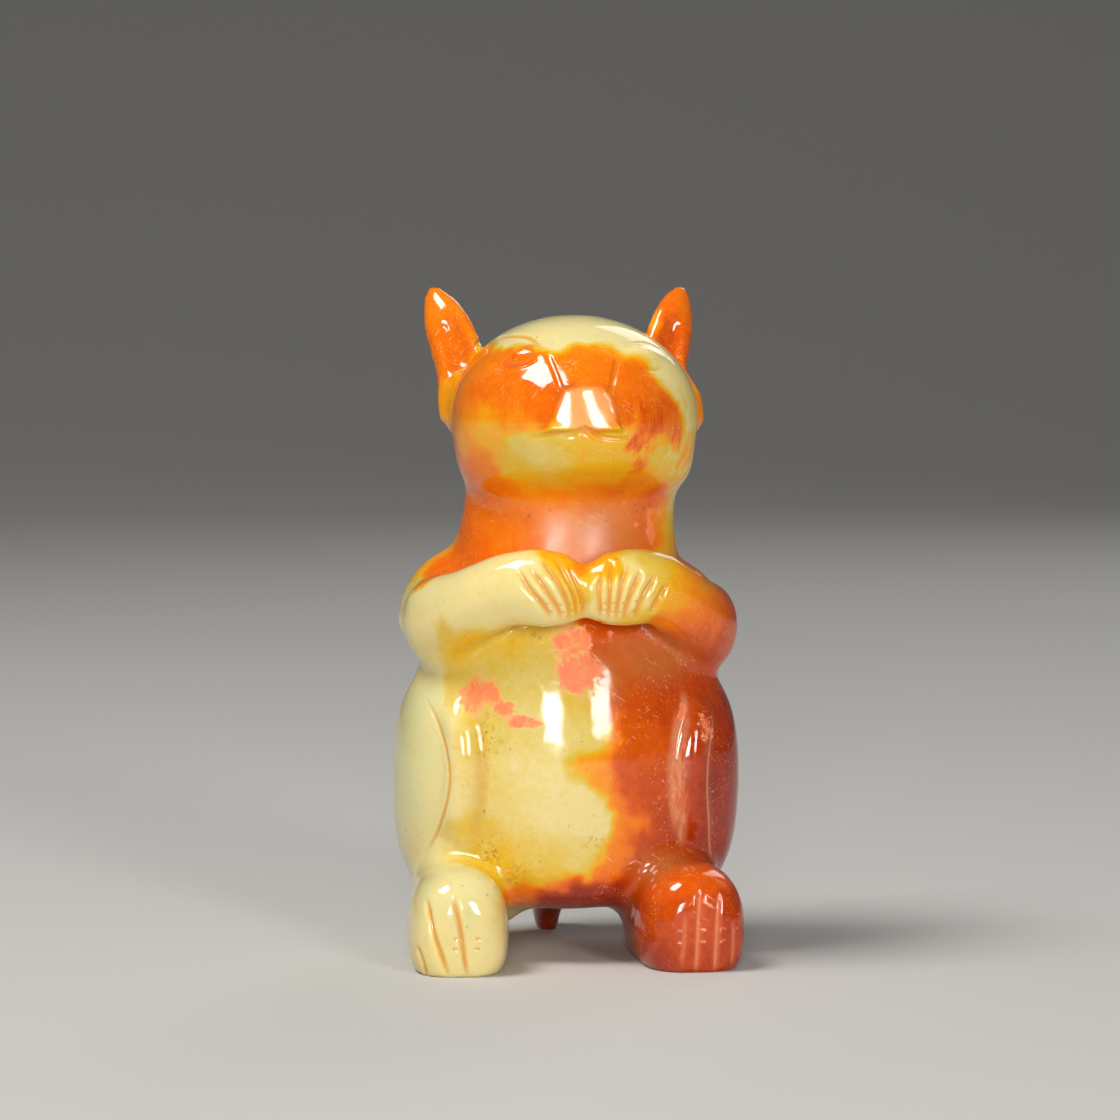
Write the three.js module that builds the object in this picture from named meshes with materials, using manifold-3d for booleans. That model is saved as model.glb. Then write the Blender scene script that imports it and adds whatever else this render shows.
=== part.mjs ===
// A rabbit carved from one pebble of jade. It squats upright on its two hind paws and its tail,
// with its forepaws held together under the chin. Millimetres, +Z up, and the rabbit faces -Y.
import * as THREE from 'three';
import { mergeVertices } from 'three/addons/utils/BufferGeometryUtils.js';
import Module from 'manifold-3d';

// Heights above the ground that the whole pose hangs on.
const crownHeight = 65;
const mouthHeight = 54;
const cheekHeight = 54.8;
const wristHeight = 37.8;
const underside = 4.4;

// Torso: a barrel of a belly that narrows to the neck.
const bellyWidth = 30.4;
const bellyDepth = 27;
const neckWidth = 21.4;
const neckDepth = 18;

// Haunches: an oval pad on each flank, proud of the belly.
const haunchSpan = 35.3;
const haunchLength = 23;
const haunchHeight = 30.4;
const haunchLean = 10;

// Hind paws, which reach forward from under the belly. The carver set them unevenly.
const soleReach = 18.6;
const pawHeight = 10.6;
// `cuts` places the toe cuts, as shares of the paw's width from its middle.
const leftPaw = { x: -13, width: 10.2, cuts: [-0.34, -0.22, 0.01] };
const rightPaw = { x: 10.85, width: 11, cuts: [-0.05, 0.07, 0.26] };

// Arms, folded across the chest. One elbow hangs lower, by a share of the hand's height.
const elbowSpan = 34.8;
const armThickness = 6.8;
const handHeight = 7.5;
const handReach = 16.2;
const elbowDrop = 0.13;
const fingerGrooves = 5;

// Head and ears. The head is turned a little, so its nape sways off the middle, and the ears are
// uneven: `x` places an ear's root, and `lobe` is how far the bottom of the ear stands out from it.
const napeSway = 0.9;
const headWidth = 24.8;
const headLength = 25.5;
const noseReach = 16.2;
const noseWidth = 7.4;
const noseHeight = 4.3;
const nosePadDepth = 0.9;
const eyeLength = 6.4;
const eyeHeight = 2.8;
const eyeSpread = 13;
const eyeBoss = 1;
const leftEar = { x: 10.3, lobe: 0.1 };
const rightEar = { x: 11.05, lobe: 1.6 };
const earLength = 15.2;
const earWidth = 4.8;
const earThickness = 3;
const earTilt = 9;
const earSweep = 24;
const earTurn = 28;

// Tail, which is the third foot.
const tailReach = 17.4;
const tailWidth = 4.8;

// Cut of the carver's wheel: how wide a groove is, and how far the wheel's centre stays off the stone.
const grooveWidth = 0.9;
const wheelLift = 0.12;

const sideways = new THREE.Vector3(1, 0, 0);
const lengthways = new THREE.Vector3(0, 1, 0);
const upwards = new THREE.Vector3(0, 0, 1);
const { degToRad, lerp, clamp } = THREE.MathUtils;

const wasm = await Module();
wasm.setup();

// The solid of a closed geometry.
function solidOf(geometry) {
  geometry.deleteAttribute('normal');
  geometry.deleteAttribute('uv');
  const merged = mergeVertices(geometry, 1e-4);
  return new wasm.Manifold(new wasm.Mesh({
    numProp: 3,
    vertProperties: merged.attributes.position.array,
    triVerts: new Uint32Array(merged.index.array),
  }));
}

// The geometry of a solid.
function geometryOf(solid) {
  const { vertProperties, triVerts } = solid.getMesh();
  const geometry = new THREE.BufferGeometry();
  geometry.setAttribute('position', new THREE.BufferAttribute(vertProperties, 3));
  geometry.setIndex(new THREE.BufferAttribute(triVerts, 1));
  geometry.computeVertexNormals();
  return geometry;
}

function joined(forms) {
  return forms.map(solidOf).reduce((all, form) => all.add(form));
}

// A closed form swept along a smooth path. Each row is one section of it: its centre x, y, z, its
// half-size along `side`, and its half-size across that. The ends round off over `start` and `end`,
// shares of the path, and `blunt` makes those ends fuller, as `square` does the sections.
function sweep(rows, side, { around, along, start = 0.5, end = 0.5, blunt = 2, square = 2 }) {
  const columns = rows[0].map((_, i) =>
    new THREE.SplineCurve(rows.map((row, k) => new THREE.Vector2(k, row[i]))));
  const value = (i, t) => columns[i].getPoint(clamp(t, 0, 1)).y;
  const centre = (t) => new THREE.Vector3(value(0, t), value(1, t), value(2, t));
  const rounding = (t) => {
    const past = Math.max(0, (start - t) / start, (t - 1 + end) / end);
    return Math.max(0, 1 - past ** blunt) ** (1 / blunt);
  };
  const squared = (c) => Math.sign(c) * Math.abs(c) ** (2 / square);

  const form = new THREE.SphereGeometry(1, around, along);
  const { position, uv } = form.attributes;
  const step = 0.02;
  for (let i = 0; i < position.count; i++) {
    const t = (1 - Math.cos(Math.PI * uv.getY(i))) / 2;
    const turn = 2 * Math.PI * uv.getX(i);
    const tangent = centre(t + step).sub(centre(t - step)).normalize();
    const u = side.clone().addScaledVector(tangent, -side.dot(tangent)).normalize();
    const v = u.clone().cross(tangent);
    const point = centre(t)
      .addScaledVector(u, -squared(Math.cos(turn)) * value(3, t) * rounding(t))
      .addScaledVector(v, squared(Math.sin(turn)) * value(4, t) * rounding(t));
    position.setXYZ(i, point.x, point.y, point.z);
  }
  return form;
}

function torso() {
  const rise = (share) => lerp(underside, mouthHeight, share);
  // Share of the rise, half-width, front and back, then the share of the nape's sway.
  const levels = [
    [0.0, 0.47 * bellyWidth, -0.46 * bellyDepth, 0.51 * bellyDepth, 0],
    [0.14, 0.49 * bellyWidth, -0.475 * bellyDepth, 0.54 * bellyDepth, 0],
    [0.28, 0.5 * bellyWidth, -0.485 * bellyDepth, 0.575 * bellyDepth, 0],
    [0.43, 0.5 * bellyWidth, -0.465 * bellyDepth, 0.565 * bellyDepth, 0],
    [0.57, 0.475 * bellyWidth, -0.4 * bellyDepth, 0.51 * bellyDepth, 0],
    [0.71, 0.55 * neckWidth, -0.5 * neckDepth, 0.63 * neckDepth, 0.1],
    [0.86, 0.5 * neckWidth, -0.47 * neckDepth, 0.53 * neckDepth, 0.5],
    [1.0, 0.53 * neckWidth, -0.5 * neckDepth, 0.46 * neckDepth, 0.6],
  ];
  const rows = levels.map(([share, half, front, back, sway]) =>
    [sway * napeSway, (front + back) / 2, rise(share), half, (back - front) / 2]);
  return sweep(rows, sideways, { around: 30, along: 20, start: 0.11, end: 0.14, blunt: 2.4, square: 2.15 });
}

// `side` is -1 for the rabbit's right, on the viewer's left, and 1 for the other.
function haunch(side) {
  const outer = haunchSpan / 2;
  const inner = 0.16 * outer;
  const middle = underside + 0.43 * haunchHeight;
  const lean = new THREE.Vector3(0, -Math.sin(degToRad(haunchLean)), Math.cos(degToRad(haunchLean)));
  const rows = [0, 0.33, 0.67, 1].map((share) =>
    [side * lerp(inner, outer, share), 0.9, middle, haunchHeight / 2, haunchLength / 2]);
  return sweep(rows, lean, { around: 26, along: 13, start: 0.3, end: 0.7, blunt: 2.25, square: 2.35 });
}

function hindPaw({ x, width }) {
  const half = width / 2;
  const mid = pawHeight / 2;
  const rows = [
    [0.93 * x, -0.04 * soleReach, 0.8 * mid, 0.9 * half, 1.2 * mid],
    [0.94 * x, -0.38 * soleReach, 0.8 * mid, 0.94 * half, 1.24 * mid],
    [0.98 * x, -0.7 * soleReach, 0.74 * mid, half, 1.24 * mid],
    [x, -soleReach, 0.7 * mid, half, 1.3 * mid],
  ];
  return sweep(rows, sideways, { around: 22, along: 13, start: 0.2, end: 0.42, blunt: 2.7, square: 2.35 });
}

function upperArm(side, drop) {
  const elbow = (elbowSpan - armThickness) / 2;
  // Share of the way out to the elbow, how far back and up from the wrist, then the half-sizes
  // front to back and across.
  const rows = [
    [0.46, 0.62, 0.14 - drop, 0.6, 0.46],
    [0.72, 0.54, 0.02 - drop, 0.74, 0.56],
    [0.9, 0.36, -0.24 - drop, 0.76, 0.56],
    [0.98, 0.04, -0.52 - drop, 0.7, 0.53],
    [1, -0.26, -0.72 - drop, 0.56, 0.44],
  ].map(([out, back, up, deep, across]) => [
    side * out * elbow, back * armThickness, wristHeight + up * handHeight,
    deep * armThickness, across * armThickness]);
  return sweep(rows, lengthways, { around: 16, along: 12, start: 0.3, end: 0.3 });
}

function forearm(side, drop) {
  const half = armThickness / 2;
  const reach = handReach - half;
  const elbow = elbowSpan / 2 - half;
  // Share of the way out to the elbow, share of the reach, how far up from the wrist, then the
  // half-sizes upwards and across.
  const rows = [
    [0.93, -0.12, -0.5 - drop, 0.56, 0.9],
    [1, 0.25, -0.5 - drop, 0.65, 1],
    [0.8, 0.64, -0.26 - 0.6 * drop, 0.52, 1],
    [0.55, 0.88, 0, 0.49, 0.95],
    [0.28, 1, 0.03, 0.53, 0.92],
    [-0.08, 1, -0.1, 0.46, 0.85],
  ].map(([out, forward, up, tall, across]) => [
    side * out * elbow, -forward * reach, wristHeight + up * handHeight, tall * handHeight, across * half]);
  return sweep(rows, upwards, { around: 15, along: 16, start: 0.22, end: 0.2 });
}

function head() {
  const half = headWidth / 2;
  const rise = crownHeight - cheekHeight;
  const nape = headLength + nosePadDepth - noseReach;
  // Share of the length from the nape, width, height and lift.
  const rows = [
    [0, 0.64, 0.7, -0.03],
    [0.19, 0.88, 0.92, 0],
    [0.38, 1, 1, 0],
    [0.57, 1, 1, 0],
    [0.76, 0.93, 0.91, -0.02],
    [1, 0.74, 0.7, -0.06],
  ].map(([share, width, height, lift]) => [
    (1 - share) * napeSway, nape - share * headLength, cheekHeight + lift * rise,
    width * half, height * rise]);
  const form = sweep(rows, sideways, { around: 30, along: 18, start: 0.3, end: 0.36, blunt: 2.3 });
  // The crown is a high dome, and the jaw below the cheeks is lower and fuller.
  const { position } = form.attributes;
  for (let i = 0; i < position.count; i++) {
    const below = Math.max(0, cheekHeight - position.getZ(i)) / rise;
    position.setX(i, position.getX(i) * (1 + 0.85 * below ** 3));
    position.setZ(i, position.getZ(i) + 0.13 * below * rise);
  }
  return form;
}

// The bridge of the nose, from the brow down to the nose pad.
function bridge() {
  const rise = crownHeight - cheekHeight;
  const rows = [
    [0, -0.37 * noseReach, cheekHeight + 0.59 * rise, 0.8 * noseWidth, 0.29 * rise],
    [0, -0.64 * noseReach, cheekHeight + 0.43 * rise, 0.6 * noseWidth, 0.25 * rise],
    [0, -0.85 * noseReach, mouthHeight + 0.55 * noseHeight, 0.5 * noseWidth, 0.19 * rise],
  ];
  return sweep(rows, sideways, { around: 14, along: 8, start: 0.3, end: 0.4 });
}

// The nose pad: a low wedge with a facet in front and one on each side.
function nosePad() {
  const half = noseWidth / 2;
  const facet = 0.28 * half;
  const depth = 2 * facet;
  const wedge = new THREE.Shape();
  wedge.moveTo(-half, 0);
  wedge.lineTo(0, 0.2 * half);
  wedge.lineTo(half, 0);
  wedge.lineTo(0.5 * half, noseHeight);
  wedge.lineTo(-0.5 * half, noseHeight);
  const pad = new THREE.ExtrudeGeometry(wedge, {
    depth, bevelSize: facet, bevelOffset: -facet, bevelThickness: facet, bevelSegments: 1,
  });
  return pad.rotateX(Math.PI / 2).translate(0, depth + facet - noseReach, mouthHeight);
}

// The eye, an almond-shaped boss that slants down towards the nose.
function eye(side, face) {
  const ends = [eyeSpread / 2 - 0.48 * eyeLength, eyeSpread / 2 + 0.42 * eyeLength];
  const rows = [0, 0.33, 0.67, 1].map((share) => {
    const height = lerp(cheekHeight, crownHeight, lerp(0.66, 0.57, share));
    const spot = face([0.3 * napeSway + side * lerp(...ends, share), height], -0.5 * eyeBoss);
    return [spot.x, spot.y, spot.z, eyeHeight / 2, eyeBoss];
  });
  return sweep(rows, upwards, { around: 12, along: 8, start: 0.5, end: 0.5, blunt: 1.7 });
}

// The line of an ear from its root to its tip. `hollow` is true for the cut in its front.
function ear(side, { x, lobe }, hollow = false) {
  const root = crownHeight - 0.81 * earLength;
  const out = Math.tan(degToRad(earTilt)) * earLength;
  const back = Math.tan(degToRad(earSweep)) * earLength;
  const wide = new THREE.Vector3(side * Math.cos(degToRad(earTurn)), Math.sin(degToRad(earTurn)), 0);
  // Share of the length, then how far out, how wide and how thick.
  const profile = [
    [0, 0, 0.4, 0.5],
    [0.2, -0.02, 0.52, 0.62],
    [0.41, -0.14, 0.58, 0.64],
    [0.6, -0.1, 0.57, 0.56],
    [0.8, -0.02, 0.48, 0.46],
    [1, 0.02, 0.24, 0.3],
  ];
  const forward = hollow ? 0.5 * earThickness : 0;
  const part = hollow ? 0.56 : 1;
  const rows = profile.filter(([share]) => !hollow || (share > 0.3 && share < 0.9)).map(
    ([share, bulge, width, thickness]) => [
      side * (x + lobe * clamp(2 - 5 * share, 0, 1) + bulge * earWidth + out * share ** 2),
      earThickness - forward + back * share ** 1.3,
      root + share * earLength, part * width * earWidth, part * thickness * earThickness]);
  const ends = hollow ? 0.5 : 0.2;
  return sweep(rows, wide, { around: hollow ? 8 : 12, along: hollow ? 8 : 13, start: 0.12, end: ends });
}

function tail() {
  const half = tailWidth / 2;
  const rows = [
    [0, 0.52 * tailReach, 1.9 * underside, 1.4 * half, 1.5 * half],
    [0, 0.74 * tailReach, 1.3 * underside, 1.35 * half, 1.6 * half],
    [0, 0.86 * tailReach, 0.56 * underside, half, 1.2 * half],
    [0, 0.87 * tailReach, -0.44 * underside, 0.7 * half, half],
  ];
  return sweep(rows, sideways, { around: 14, along: 8, start: 0.2, end: 0.3 });
}

// Everything below the ground is ground off, so that the paws and the tail stand flat.
function ground() {
  const size = 3 * crownHeight;
  return new THREE.BoxGeometry(size, size, size).translate(0, 0, -size / 2);
}

// Finds the front surface of a solid at an x and z, and a point that is `lift` off it.
function frontOf(solid) {
  const surface = new THREE.Mesh(geometryOf(solid));
  surface.geometry.computeBoundingSphere();
  const ray = new THREE.Raycaster();
  const far = 4 * noseReach;
  return ([x, z], lift) => {
    ray.set(new THREE.Vector3(x, -far, z), lengthways);
    const [hit] = ray.intersectObject(surface);
    return hit ? hit.point.addScaledVector(hit.face.normal, lift) : null;
  };
}

// A cut of the wheel along a line of x and z, seen from the front.
function groove({ points, width = grooveWidth }, surface) {
  const path = points.map((point) => surface(point, wheelLift)).filter(Boolean);
  const rows = path.map((p) => [p.x, p.y, p.z, width / 2, width / 2]);
  return sweep(rows, sideways, { around: 5, along: 7, start: 0.3, end: 0.2 });
}

// Points along an arc that bows sideways from one point to another.
function bowed([x0, z0], [x1, z1], bow, steps = 6) {
  return Array.from({ length: steps + 1 }, (_, i) => {
    const t = i / steps;
    return [lerp(x0, x1, t) + 4 * bow * t * (1 - t), lerp(z0, z1, t)];
  });
}

function fingerLines(side) {
  return Array.from({ length: fingerGrooves }, (_, i) => {
    const t = i / (fingerGrooves - 1);
    const top = [side * lerp(0.24, 1, t) * handHeight, wristHeight + lerp(0.36, 0.18, t) * handHeight];
    const tip = [side * lerp(0.14, 0.66, t) * handHeight, wristHeight - 0.41 * handHeight];
    return { points: bowed(top, tip, side * -0.03 * handHeight), width: 0.8 * grooveWidth };
  });
}

// The toe cuts lean inwards on the way down.
function toeLines({ x, width, cuts }) {
  return cuts.map((cut) => {
    const top = [x + (cut + Math.sign(x) * 0.04) * width, 0.72 * pawHeight];
    return { points: bowed(top, [x + (cut - Math.sign(x) * 0.03) * width, 0.03 * pawHeight], 0) };
  });
}

// The cut that runs along the flank behind each haunch's rim.
function haunchLine(side) {
  const x = side * 0.37 * haunchSpan;
  const low = underside + 0.16 * haunchHeight;
  return { points: bowed([x, low + 0.62 * haunchHeight], [x, low], side * -0.054 * haunchSpan, 8) };
}

function mouthLine() {
  const lip = (side) => bowed([0, mouthHeight], [side * 0.85 * noseWidth, mouthHeight - 0.15 * noseHeight], 0)
    .map(([x, z], i) => [x, z - 0.12 * noseHeight * Math.sin(Math.PI * Math.min(1, i / 5))]);
  return [-1, 1].map((side) => ({ points: lip(side), width: 0.7 * grooveWidth }));
}

// The cut from the inner corner of the eye down to the nose.
function bridgeLine(side) {
  const half = 0.5 * noseWidth;
  const corner = [side * 1.05 * half, lerp(cheekHeight, crownHeight, 0.6)];
  return { points: bowed(corner, [side * 0.7 * half, mouthHeight + 0.95 * noseHeight], 0) };
}

const face = frontOf(joined([head()]));
const stone = joined([
  torso(), haunch(-1), haunch(1), hindPaw(leftPaw), hindPaw(rightPaw),
  upperArm(-1, 0), upperArm(1, elbowDrop), forearm(-1, 0), forearm(1, elbowDrop),
  head(), bridge(), nosePad(), eye(-1, face), eye(1, face),
  ear(-1, leftEar), ear(1, rightEar), tail(),
]);
const front = frontOf(stone);
const cuts = [
  ...fingerLines(-1), ...fingerLines(1),
  ...toeLines(leftPaw), ...toeLines(rightPaw),
  haunchLine(-1), haunchLine(1), ...mouthLine(), bridgeLine(-1), bridgeLine(1),
].map((line) => groove(line, front));
const hollows = [ear(-1, leftEar, true), ear(1, rightEar, true)];
const carved = stone.subtract(joined([ground(), ...hollows, ...cuts]));

const rabbit = new THREE.Mesh(geometryOf(carved), new THREE.MeshStandardMaterial({
  color: 0xd9b968, roughness: 0.25, metalness: 0,
}));
rabbit.name = 'jade_rabbit';
rabbit.geometry.computeBoundingBox();
const middle = rabbit.geometry.boundingBox.getCenter(new THREE.Vector3());
rabbit.geometry.translate(-middle.x, -middle.y, 0);

const figure = new THREE.Group();
figure.add(rabbit);
export default figure;
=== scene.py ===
import math

import bpy
import numpy as np
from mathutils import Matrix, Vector, noise
from mathutils.kdtree import KDTree


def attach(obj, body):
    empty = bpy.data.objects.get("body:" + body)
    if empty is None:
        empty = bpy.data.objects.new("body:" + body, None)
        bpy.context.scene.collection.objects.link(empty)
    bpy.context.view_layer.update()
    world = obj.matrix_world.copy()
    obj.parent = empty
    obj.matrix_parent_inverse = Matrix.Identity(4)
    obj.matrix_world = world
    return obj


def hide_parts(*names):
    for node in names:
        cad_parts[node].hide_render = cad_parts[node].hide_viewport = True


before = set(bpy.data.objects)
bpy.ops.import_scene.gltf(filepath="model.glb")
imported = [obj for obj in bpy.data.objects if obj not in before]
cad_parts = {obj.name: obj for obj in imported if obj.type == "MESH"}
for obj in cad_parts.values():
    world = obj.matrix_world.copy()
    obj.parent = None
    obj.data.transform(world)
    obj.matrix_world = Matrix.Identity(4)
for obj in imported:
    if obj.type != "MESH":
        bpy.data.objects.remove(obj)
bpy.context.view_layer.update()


# The stone: one pebble of nephrite, ground to a rabbit that squats on its hind paws and tail, and
# polished all over, so that every edge is rounded. The solid gives its form. Its facets are closed
# to a fine skin, and the skin is rubbed smooth, most of all on the back, the flanks and the crown.
MM = 0.001
SAME_POINT = 0.002
SKIN_STEP = 0.46

rabbit = bpy.data.objects.new("carved_rabbit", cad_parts["jade_rabbit"].data.copy())
bpy.context.scene.collection.objects.link(rabbit)
bpy.ops.object.select_all(action="DESELECT")
rabbit.select_set(True)
bpy.context.view_layer.objects.active = rabbit
rabbit.data.materials.clear()

bpy.ops.object.mode_set(mode="EDIT")
bpy.ops.mesh.select_all(action="SELECT")
bpy.ops.mesh.remove_doubles(threshold=SAME_POINT * MM)
bpy.ops.object.mode_set(mode="OBJECT")
skin = rabbit.modifiers.new("skin", "REMESH")
skin.mode = "VOXEL"
skin.voxel_size = SKIN_STEP * MM
bpy.ops.object.modifier_apply(modifier=skin.name)


def stone_points():
    """Where the stone's surface points are, in millimetres."""
    points = np.empty(len(rabbit.data.vertices) * 3)
    rabbit.data.vertices.foreach_get("co", points)
    return points.reshape(-1, 3) / MM


def stone_normals():
    """Which way the stone faces at each point."""
    normals = np.empty(len(rabbit.data.vertices) * 3)
    rabbit.data.vertex_normals.foreach_get("vector", normals)
    return normals.reshape(-1, 3)


def shape_stone(points):
    """Moves the stone's surface to the points."""
    rabbit.data.vertices.foreach_set("co", (points * MM).ravel())
    rabbit.data.update()
    bpy.context.view_layer.update()


def rub(values, rounds):
    """Evens out a value or a place over the surface, a little in each round."""
    ends = np.empty(len(rabbit.data.edges) * 2, np.int64)
    rabbit.data.edges.foreach_get("vertices", ends)
    first, second = ends.reshape(-1, 2).T
    total = len(values)
    count = np.maximum(1, np.bincount(first, minlength=total) + np.bincount(second, minlength=total))
    columns = [np.array(column) for column in values.reshape(total, -1).T]
    for _ in range(rounds):
        for column in columns:
            mean = np.bincount(first, column[second], total) + np.bincount(second, column[first], total)
            column += 0.5 * (mean / count - column)
    return np.stack(columns, axis=1).reshape(values.shape)


def polished(points, rounds):
    """Rubs the facets away, then gives back the bulk that rubbing takes off the larger forms."""
    rubbed = rub(points, rounds)
    return rubbed + rub(points - rubbed, rounds)


def grounded(points, slack):
    """Sets what lies within the slack of the ground back on it, so that the soles stay flat."""
    points[:, 2] = np.where(points[:, 2] < slack, 0, points[:, 2])
    return points


def soft_step(values, low, high):
    """0 below the low value, 1 above the high one, and a smooth rise between them."""
    share = np.clip((values - low) / (high - low), 0, 1)
    return share * share * (3 - 2 * share)


# The carved places are rubbed less than the broad ones, and the thin ears least of all. Each place
# is bounded in millimetres, by where it begins and where it counts in full.
ROUNDS = (5, 12, 60)
TAIL_TAPER = 0.35
points = stone_points()
x, y, z = points.T
hands = soft_step(-y, 4, 8) * soft_step(z, 29, 32) * soft_step(-z, -43.5, -41.5)
paws = soft_step(-y, 9, 12) * soft_step(-z, -12, -9)
face = soft_step(-y, 7, 10) * soft_step(z, 51, 53.5)
foot = soft_step(-z, -3, -1.5)
carved = np.max([hands, paws, face, foot], axis=0)
ear_tips = soft_step(z, 58, 61) * soft_step(y, 1.5, 4)
ear_roots = soft_step(np.abs(x), 11.8, 12.6) * soft_step(z, 50, 52)
ears = np.maximum(ear_tips, ear_roots)
sharp, fine, broad = (polished(points, rounds) for rounds in ROUNDS)
points = broad + (fine - broad) * carved[:, None]
points += (sharp - points) * ears[:, None]
tail_tip = soft_step(y, 11, 12.5) * soft_step(-z, -6, -1)
points[:, 0] *= 1 - TAIL_TAPER * tail_tip
shape_stone(grounded(points, slack=0.16))


def split(close):
    """Splits the chosen faces into four."""
    bpy.ops.object.mode_set(mode="EDIT")
    bpy.ops.mesh.select_all(action="DESELECT")
    bpy.ops.object.mode_set(mode="OBJECT")
    rabbit.data.polygons.foreach_set("select", close)
    bpy.ops.object.mode_set(mode="EDIT")
    bpy.ops.mesh.select_mode(type="FACE")
    bpy.ops.mesh.quads_convert_to_tris()
    bpy.ops.mesh.subdivide(number_cuts=1, smoothness=0, ngon=False)
    bpy.ops.object.mode_set(mode="OBJECT")


def face_centres():
    """Where the middles of the stone's faces are, in millimetres."""
    centres = np.empty(len(rabbit.data.polygons) * 3)
    rabbit.data.polygons.foreach_get("center", centres)
    return centres.reshape(-1, 3) / MM


# The nose is one flat of the wheel: a small plate, wider at its foot, that tilts back as it rises.
# It is a little hollow across, about a ridge that leans to one side, and its foot is arched.
NOSE = {
    "middle": (-0.35, -15, 56), "reach": 4.6, "border": (4.2, 4.8),
    "y": -15.9, "tilt": 0.15, "foot": 54.0, "top": 57.8, "half_foot": 3.5, "half_top": 1.9,
    "round_foot": 18.0, "round_top": 9.0, "ridge_foot": -0.1, "ridge_top": -0.9,
    "arch": 0.4, "half_arch": 1.2,
}


def from_nose(places):
    """How far places are from the middle of the nose."""
    return np.linalg.norm(places - np.array(NOSE["middle"]), axis=1)


for _ in range(2):
    split(from_nose(face_centres()) < NOSE["reach"])
points = polished(stone_points(), 2)
x, y, z = points.T
up = (z - NOSE["foot"]) / (NOSE["top"] - NOSE["foot"])
across = np.abs(x - NOSE["middle"][0])
half = NOSE["half_foot"] + (NOSE["half_top"] - NOSE["half_foot"]) * up
arch = NOSE["arch"] * np.clip(1 - across / NOSE["half_arch"], 0, 1)
inside = np.min([half - across, z - NOSE["foot"] - arch, NOSE["top"] - z], axis=0)
bend = 1 / NOSE["round_foot"] + (1 / NOSE["round_top"] - 1 / NOSE["round_foot"]) * up
ridge = NOSE["ridge_foot"] + (NOSE["ridge_top"] - NOSE["ridge_foot"]) * up
plate = NOSE["y"] + NOSE["tilt"] * (z - NOSE["foot"]) + (x - ridge) ** 2 * bend / 2
on_nose = soft_step(inside, -0.5, 0.1) * soft_step(-y, 11, 12.5)
points[:, 1] += (plate - y) * on_nose
shape_stone(points)


# The cuts of the carver's wheel: fingers, toes, mouth, eyes, nose and the lines along the haunches.
# Each runs through places that are given as x and z seen from the front, and sinks into the stone
# along its own normal, deep in the middle and shallow at its ends. Lengths are in millimetres.
def course(places, step=0.1):
    """A smooth line through places, one step apart."""
    knots = np.array(places, float)
    before = np.vstack([2 * knots[0] - knots[1], knots, 2 * knots[-1] - knots[-2]])
    line = []
    for i in range(len(knots) - 1):
        a, b, c, d = before[i:i + 4]
        steps = max(2, int(np.linalg.norm(c - b) / step))
        for t in np.arange(steps) / steps:
            line.append(0.5 * (2 * b + (c - a) * t + (2 * a - 5 * b + 4 * c - d) * t * t
                               + (3 * b - a - 3 * c + d) * t ** 3))
    return np.array(line + [knots[-1]])


IN_FRONT = -50


def on_front(line):
    """Where a line of x and z meets the front of the stone."""
    found = []
    for across, up in line:
        start = Vector((across * MM, IN_FRONT * MM, up * MM))
        hit, place, _, _ = rabbit.ray_cast(start, Vector((0, 1, 0)))
        if hit:
            found.append(np.array(place) / MM)
    return np.array(found)


FINGERS = [
    [(-6.9, 40.1), (-5.8, 38.1), (-4.5, 36.6), (-3.6, 35.1)],
    [(-5.7, 40.2), (-4.2, 38.1), (-2.9, 36.0), (-2.5, 34.8)],
    [(-4.4, 41.0), (-3.0, 38.8), (-1.9, 36.6), (-1.6, 34.8)],
    [(-3.1, 41.0), (-1.9, 39.0), (-1.1, 36.8), (-0.9, 35.0)],
    [(-1.8, 40.4), (-1.0, 38.6), (-0.4, 36.7), (-0.2, 35.2)],
    [(1.2, 39.8), (1.1, 38.0), (1.2, 36.4), (1.3, 35.1)],
    [(2.3, 41.1), (2.2, 38.8), (2.1, 36.5), (2.1, 34.8)],
    [(4.0, 40.6), (3.4, 38.7), (3.0, 36.5), (2.9, 34.7)],
    [(5.4, 39.9), (4.5, 38.1), (3.9, 36.3), (3.7, 34.7)],
    [(6.9, 39.4), (5.9, 37.9), (5.2, 36.3), (4.9, 34.8)],
    [(8.3, 38.6), (7.2, 37.0), (6.5, 35.6)],
]
TOES = [
    [(-17.2, 3.0), (-16.7, 1.5), (-16.3, 0.0)],
    [(-16.3, 7.8), (-15.8, 4.8), (-15.0, 2.3), (-14.2, 0.0)],
    [(-13.8, 8.2), (-13.2, 5.4), (-12.8, 2.8), (-12.4, 0.0)],
    [(10.9, 8.4), (10.7, 5.4), (10.6, 2.8), (10.5, 0.0)],
    [(12.8, 8.0), (12.6, 4.9), (12.5, 2.4), (12.4, 0.0)],
]
FAINT_TOES = [
    [(9.3, 6.2), (9.2, 3.3), (9.0, 0.4)],
    [(14.3, 5.2), (14.3, 2.6), (14.2, 0.2)],
]
HAUNCHES = [
    [(-15.1, 26.6), (-14.1, 24.4), (-13.2, 21.4), (-12.9, 18.7), (-13.3, 15.8), (-14.2, 13.0), (-15.3, 10.4)],
    [(13.9, 25.4), (13.4, 22.6), (13.0, 20.0), (12.9, 17.3), (13.2, 13.9), (13.9, 10.4), (14.4, 8.2)],
]
HAUNCH_EDGES = [
    [(-10.9, 27.2), (-10.1, 23.1), (-9.9, 19.7), (-10.2, 16.2), (-10.9, 12.6)],
    [(11.2, 26.4), (10.0, 22.6), (9.3, 19.4), (9.5, 15.8), (10.6, 11.6)],
]
MOUTH = [
    [(-5.9, 53.0), (-3.5, 53.5), (-1.8, 53.7), (-0.5, 54.2),
     (0.3, 53.8), (1.4, 53.2), (3.1, 53.0), (5.8, 53.2)],
]
LIPS = [
    [(-3.2, 53.4), (-1.6, 53.2), (-0.5, 53.6), (0.8, 52.8), (2.2, 52.5)],
]
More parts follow.
